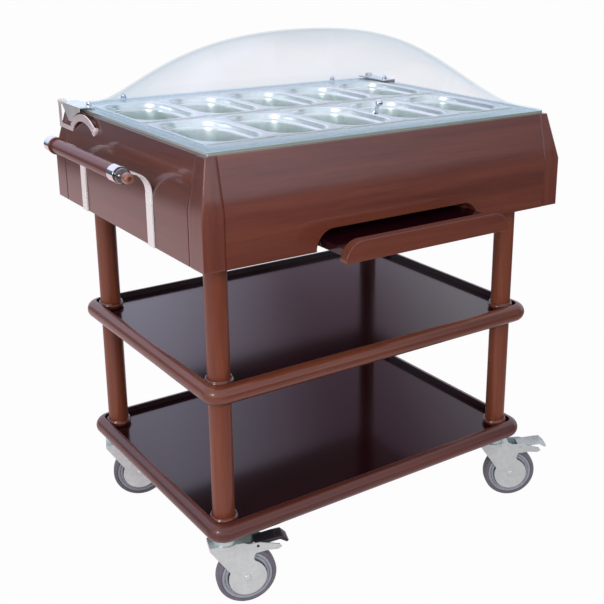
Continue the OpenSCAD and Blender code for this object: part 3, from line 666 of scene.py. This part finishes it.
def collars():
    """Bulging ring round the foot of each post length, eight in one piece."""
    low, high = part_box("post_collars")
    profile = [(23.6, 0.2), (26.2, 0.0), (27.6, 0.6)] + arc((22.6, 8.0), 7.8, -48, 48, 10)
    profile += [(27.6, 15.4), (26.2, 16.0), (23.6, 15.8)]
    points, quads = lathe(profile, COLLAR_SEGMENTS)
    vertices, faces = [], []
    for x in (low.x + COLLAR_CAD_R * MM, high.x - COLLAR_CAD_R * MM):
        for y in (low.y + COLLAR_CAD_R * MM, high.y - COLLAR_CAD_R * MM):
            for z in (low.z, high.z - COLLAR_HEIGHT * MM):
                place = along_axis((x, y, z), (0, 0, 1))
                faces += [tuple(len(vertices) + k for k in quad) for quad in quads]
                vertices += [place @ Vector(p) for p in points]
    piece("turned_collars", vertices, faces, WOOD_COLLAR, "cart", ["post_collars"])


# Ribs: distance from the pedal's pivot, height above it and lean, in millimetres and degrees
RIBS = ((41.0, 11.4, -3), (46.5, 11.7, -3), (52.0, 12.0, -3), (59.0, 8.3, 45), (63.5, 3.8, 45))
RIB_LEVELS = [(1.5, 14.5, 0.8, -1.0), (1.5, 14.5, 0.8, 0.5), (0.9, 13.9, 0.6, 1.1)]
RIB_CORNER_STEPS = 3


def pedal_ribs(corner):
    """Raised cross ribs on a brake pedal's tread."""
    joint = JOINTS["pedal_" + corner]
    material, slot = PEDALS[corner]
    pivot = Vector(joint["pos_m"])
    across = Vector(joint["axis"])
    outward = Vector((across.y, -across.x, 0))
    upward = Vector((0, 0, 1))
    points, faces = loft(RIB_LEVELS, RIB_CORNER_STEPS)
    for number, (reach, height, degrees) in enumerate(RIBS):
        lean = radians(degrees)
        up = upward * cos(lean) + outward * sin(lean)
        forward = outward * cos(lean) - upward * sin(lean)
        turn = Matrix((forward, across, up)).transposed().to_4x4()
        spot = pivot + outward * reach * MM + upward * height * MM
        put = Matrix.Translation(spot) @ turn @ Matrix.Scale(MM, 4)
        piece(f"pedal_rib_{corner}_{number}", [put @ Vector(p) for p in points], faces, material,
              "pedal_" + corner, ())


# Camera, floor and light

CAMERA_AZIMUTH = -36.407
CAMERA_ELEVATION = 16.949
CAMERA_ROLL = 0.502
CAMERA_FROM_TOP = Vector((-1.27107, -1.96166, 0.37833))
FOCAL_PIXELS = 1006.49
IMAGE_SIZE = 604
AXIS_PIXEL = (364.06, 245.71)
SENSOR = 36


def camera():
    """The photograph's camera, placed from the middle of the steel top."""
    a, e, r = (radians(v) for v in (CAMERA_AZIMUTH, CAMERA_ELEVATION, CAMERA_ROLL))
    back = Vector((sin(a) * cos(e), -cos(a) * cos(e), sin(e)))
    right = Vector((cos(a), sin(a), 0))
    up = back.cross(right)
    right_rolled = right * cos(r) + up * sin(r)
    up_rolled = up * cos(r) - right * sin(r)
    data = bpy.data.cameras.new("camera")
    data.sensor_width = SENSOR
    data.lens = FOCAL_PIXELS / IMAGE_SIZE * SENSOR
    data.shift_x = (IMAGE_SIZE / 2 - AXIS_PIXEL[0]) / IMAGE_SIZE
    data.shift_y = (AXIS_PIXEL[1] - IMAGE_SIZE / 2) / IMAGE_SIZE
    thing = bpy.data.objects.new("camera", data)
    turn = Matrix((right_rolled, up_rolled, back)).transposed().to_4x4()
    thing.matrix_world = Matrix.Translation(CART + CAMERA_FROM_TOP) @ turn
    bpy.context.scene.collection.objects.link(thing)
    bpy.context.scene.camera = thing


def seen_share(tree, strength):
    """A strength for camera, glossy and transmission rays and 0 for the rest."""
    rays = tree.add("LightPath").outputs
    seen = tree.math("MAXIMUM", rays["Is Camera Ray"], rays["Is Glossy Ray"])
    seen = tree.math("MAXIMUM", seen, rays["Is Transmission Ray"])
    return tree.math("MULTIPLY", seen, strength)


WHITE = (1, 1, 1, 1)
FLOOR_REACH = 45
FLOOR_MATT = (0.45, 0.43, 0.42, 1)
FLOOR_OWN_LIGHT = 0.975
MIRRORED_SHADE = 0.12
GLOW = (1.0, 0.77, 0.82, 1)
GLOW_PLACE = (-1.4, 2.0, 0)
GLOW_REACH = 5.2
GLOW_FADE = (0.18, 0.5)


def floor():
    """Wide floor, white to the eye, that keeps the object's shadow. What the object mirrors of
    it is dark, but for a warm glow at the cart's back left."""
    tree = start_material("white_floor")
    from_camera = tree.add("LightPath").outputs["Is Camera Ray"]
    offset = tree.add("Mapping", {
        "Vector": tree.add("TexCoord").outputs["Object"],
        "Location": [-v / GLOW_REACH for v in GLOW_PLACE],
        "Scale": (1 / GLOW_REACH,) * 3}).outputs["Vector"]
    near = tree.add("TexGradient", {"Vector": offset}, gradient_type="SPHERICAL").outputs["Fac"]
    shade = tree.add("MapRange", {
        "Value": near, "From Min": GLOW_FADE[0], "From Max": GLOW_FADE[1],
        "To Min": MIRRORED_SHADE}).outputs[0]
    matt = tree.add("BsdfDiffuse", {"Color": FLOOR_MATT})
    glow = tree.add("Emission", {
        "Color": tree.blend(from_camera, GLOW, WHITE),
        "Strength": tree.math("MAXIMUM", from_camera, shade)})
    mixed = tree.add("MixShader", {
        0: seen_share(tree, FLOOR_OWN_LIGHT), 1: matt.outputs[0], 2: glow.outputs[0]})
    mesh = bpy.data.meshes.new("floor")
    corners = [(x * FLOOR_REACH, y * FLOOR_REACH, 0)
               for x, y in ((-1, -1), (1, -1), (1, 1), (-1, 1))]
    mesh.from_pydata(corners, [], [(0, 1, 2, 3)])
    mesh.materials.append(finish_material(tree, mixed.outputs[0]))
    thing = bpy.data.objects.new("floor", mesh)
    bpy.context.scene.collection.objects.link(thing)


def grey(share):
    """Grey of a brightness, a little bluer as it darkens."""
    return (share, share + 0.03 * (1 - share), share + 0.06 * (1 - share), 1)


def lilac(share):
    """Cool, slightly pink white of the room's walls."""
    return (share, 0.98 * share, 1.1 * share, 1)


WORLD_LIGHT = 0.6
HAZE = (1.15, 1.36, 1.62, 1)
HIGH_WINDOWS = 1.25
OVERHEAD = 0.85
BEHIND = 0.82
DARK_CORNERS = 0.12
CURTAIN = (0.4, 0.26, 0.32, 1)

# Places in the mirrored room are parts of a direction: x to the right, y to the rear, z up
ROOM_HEIGHTS = (
    (0.0, HAZE), (0.18, HAZE), (0.27, lilac(0.98)), (0.5, lilac(0.85)), (0.7, lilac(0.95)),
    (0.83, lilac(HIGH_WINDOWS)), (0.9, lilac(HIGH_WINDOWS)), (0.98, lilac(OVERHEAD)))
FRONT_TO_BEHIND = (-0.3, 0.6)
BACK_LEFT = {"x": (-0.33, -0.385), "y": (0.2, 0.5), "z": (0.25, 0.2)}
FRONT_RIGHT = {"x": (0.5, 0.75), "y": (-0.1, -0.4)}
CURTAIN_PLACE = {"y": (0.3, 0.5), "z": (0.2, 0.32)}
CURTAIN_FOLDS = ((0.37, lilac(1.5)), (0.5, CURTAIN), (0.56, CURTAIN), (0.64, grey(1.08)))


def between(tree, value, limits, times=1.0):
    """A value's place between two limits, from 0 to 1 and times another value."""
    return tree.add("MapRange", {
        "Value": value, "From Min": limits[0], "From Max": limits[1], "To Max": times}).outputs[0]


def world():
    """White to the eye, with an even light. Metal and lacquer mirror a lilac room instead: a
    blue haze low down, windows high up, a duller rear, two dark corners and a curtain."""
    sky = bpy.data.worlds.new("studio")
    bpy.context.scene.world = sky
    tree = Tree(sky)
    x, y, z = tree.add("SeparateXYZ", {0: tree.add("TexCoord").outputs["Generated"]}).outputs
    height = tree.ramp(z, *ROOM_HEIGHTS)
    side = tree.ramp(between(tree, y, FRONT_TO_BEHIND), (0.0, grey(1.0)), (1.0, grey(BEHIND)))
    low_behind = tree.math("MULTIPLY", between(tree, y, BACK_LEFT["y"]),
                           between(tree, z, BACK_LEFT["z"]))
    back_left = between(tree, x, BACK_LEFT["x"], low_behind)
    front_right = between(tree, x, FRONT_RIGHT["x"], between(tree, y, FRONT_RIGHT["y"]))
    dark = tree.math("MAXIMUM", back_left, front_right)
    corners = tree.ramp(dark, (0.0, grey(1.0)), (1.0, grey(DARK_CORNERS)))
    hung = between(tree, z, CURTAIN_PLACE["z"], between(tree, y, CURTAIN_PLACE["y"]))
    curtain = tree.blend(hung, WHITE, tree.ramp(x, *CURTAIN_FOLDS))
    room = height
    for shade in (side, corners, curtain):
        room = tree.blend(1.0, room, shade, "MULTIPLY")
    from_camera = tree.add("LightPath").outputs["Is Camera Ray"]
    lit = tree.add("Background", {"Color": WHITE, "Strength": WORLD_LIGHT})
    seen = tree.add("Background", {"Color": tree.blend(from_camera, room, WHITE), "Strength": 1.0})
    mixed = tree.add("MixShader", {
        0: seen_share(tree, 1.0), 1: lit.outputs[0], 2: seen.outputs[0]})
    tree.add("OutputWorld", {"Surface": mixed.outputs[0]})


def soft_box(name, place, size, power, mirrored):
    """Square lamp that faces the cart's middle; an unmirrored one makes no highlights."""
    data = bpy.data.lights.new(name, "AREA")
    data.size = size
    data.energy = power
    thing = bpy.data.objects.new(name, data)
    aim = Vector((CART.x, CART.y, CART.z / 2)) - Vector(place)
    turn = aim.to_track_quat("-Z", "Y").to_matrix().to_4x4()
    thing.matrix_world = Matrix.Translation(place) @ turn
    thing.visible_glossy = mirrored
    bpy.context.scene.collection.objects.link(thing)


def lights():
    """One lamp at the left that metal and lacquer mirror, and two that only light the cart."""
    soft_box("key", (-2.9, -1.3, 1.7), size=0.75, power=27, mirrored=True)
    soft_box("edge", (3.0, 0.2, 1.9), size=1.2, power=8, mirrored=False)
    soft_box("front", (-1.0, -2.8, 2.0), size=0.8, power=44, mirrored=False)


# The cart

camera()
floor()
world()
lights()

dress(["lower_shelf_rim"], WOOD_LOW_RIM_SHADED, 0.002)
dress(["middle_shelf_rim"], WOOD_RIM, 0.002)
dress(["lower_shelf_panel", "middle_shelf_panel", "plate_shelf_board"], LAMINATE, 0.0006)
dress(["lower_posts", "upper_posts"], WOOD_POST, 0.001)
dress(["corner_blocks"], WOOD_BLOCK, 0.0014)
dress(["front_panel", "rear_panel", "plate_shelf_lip"], WOOD_X, 0.001)
dress(["left_panel", "right_panel"], WOOD_Y, 0.001)
dress(["handle_bar"], WOOD_HANDLE, 0.001)
dress(["shelf_runners"], WOOD_RUNNER, 0.0006)
dress(["box_floor"], RAW_WOOD, 0.0006)
dress(["well_liner"], STAINLESS, 0.0003)
dress(["top_frame"], STAINLESS, 0.0008)
dress(["divider_bars"], STAINLESS, 0.0006)
dress(["handle_straps"], SATIN, 0.0008)
dress(["handle_bands"], CHROME, 0.0008)
dress(["dome_knob", "dome_bolts"], CHROME, 0.0005)
dress(["hinge_leaf_left", "hinge_leaf_right"], HINGE_LEAF, 0.0005)
dress(["hinge_bracket_left", "hinge_bracket_right"], HINGE_ARM, 0.001)
dress(["tie_rods", "caster_plates"], ZINC, 0.0004)
dress(["fork_" + corner for corner in CORNERS], ZINC, 0.0007)
for corner, (material, _) in PEDALS.items():
    dress(["pedal_" + corner], material, 0.0008)

for row in ("front", "rear"):
    for number in range(1, 6):
        pan(f"pan_{row}_{number}")
dome()
finial()
collars()
for corner in CORNERS:
    tyre(corner)
    hub(corner)
    axle(corner)
for corner in PEDALS:
    pedal_ribs(corner)

bpy.context.scene.view_settings.view_transform = "Standard"
